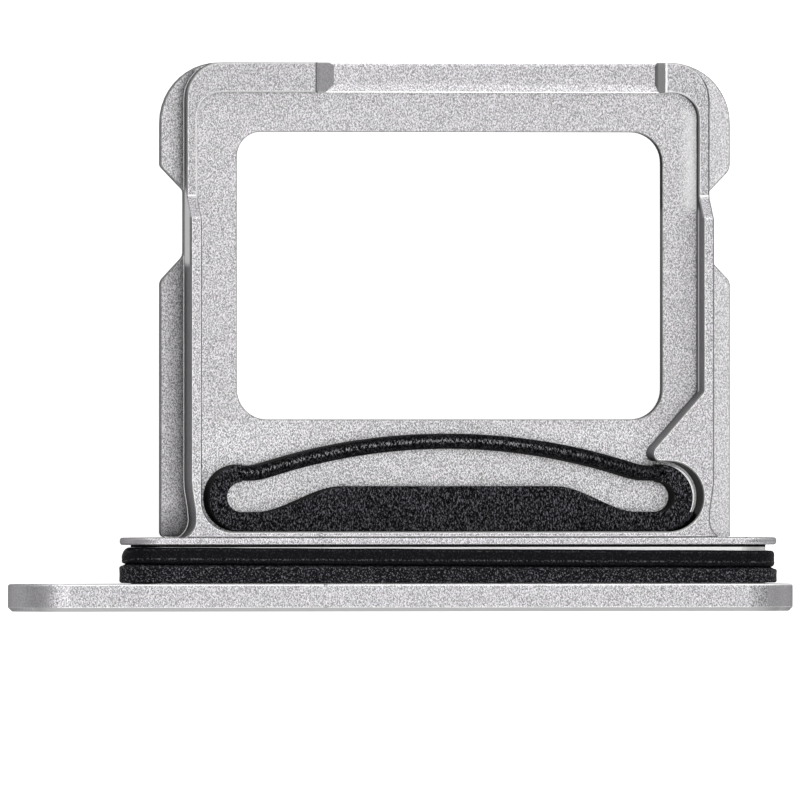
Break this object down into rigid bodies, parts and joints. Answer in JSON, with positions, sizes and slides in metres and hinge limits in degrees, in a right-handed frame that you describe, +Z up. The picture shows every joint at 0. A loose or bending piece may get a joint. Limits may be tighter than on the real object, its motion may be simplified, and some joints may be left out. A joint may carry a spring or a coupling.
{
  "type": "sim card tray",
  "caption": "Pull-out tray that carries a nano card into a phone: faceplate with ejector hole, ribbed seal, framed card pocket with window, side wings and a bowed spring.",
  "frame": {"origin": "centre of the faceplate's outer face", "axes": "+X along the faceplate, away from the ejector hole; +Y from the faceplate to the leading edge; +Z up, out of the open side of the card pocket"},
  "size_m": [0.0194, 0.0134, 0.0026],
  "materials": {
    "blasted_metal": "fine bead-blasted silver, smooth on the walls",
    "black_elastomer": "satin with a fine moulded grain",
    "black_rubber": "dull with a faint sheen along the ribs"
  },
  "bodies": {
    "root": {"tray_body": "blasted_metal", "card_spring": "black_elastomer", "seal_gasket": "black_rubber"}
  },
  "joints": []
}
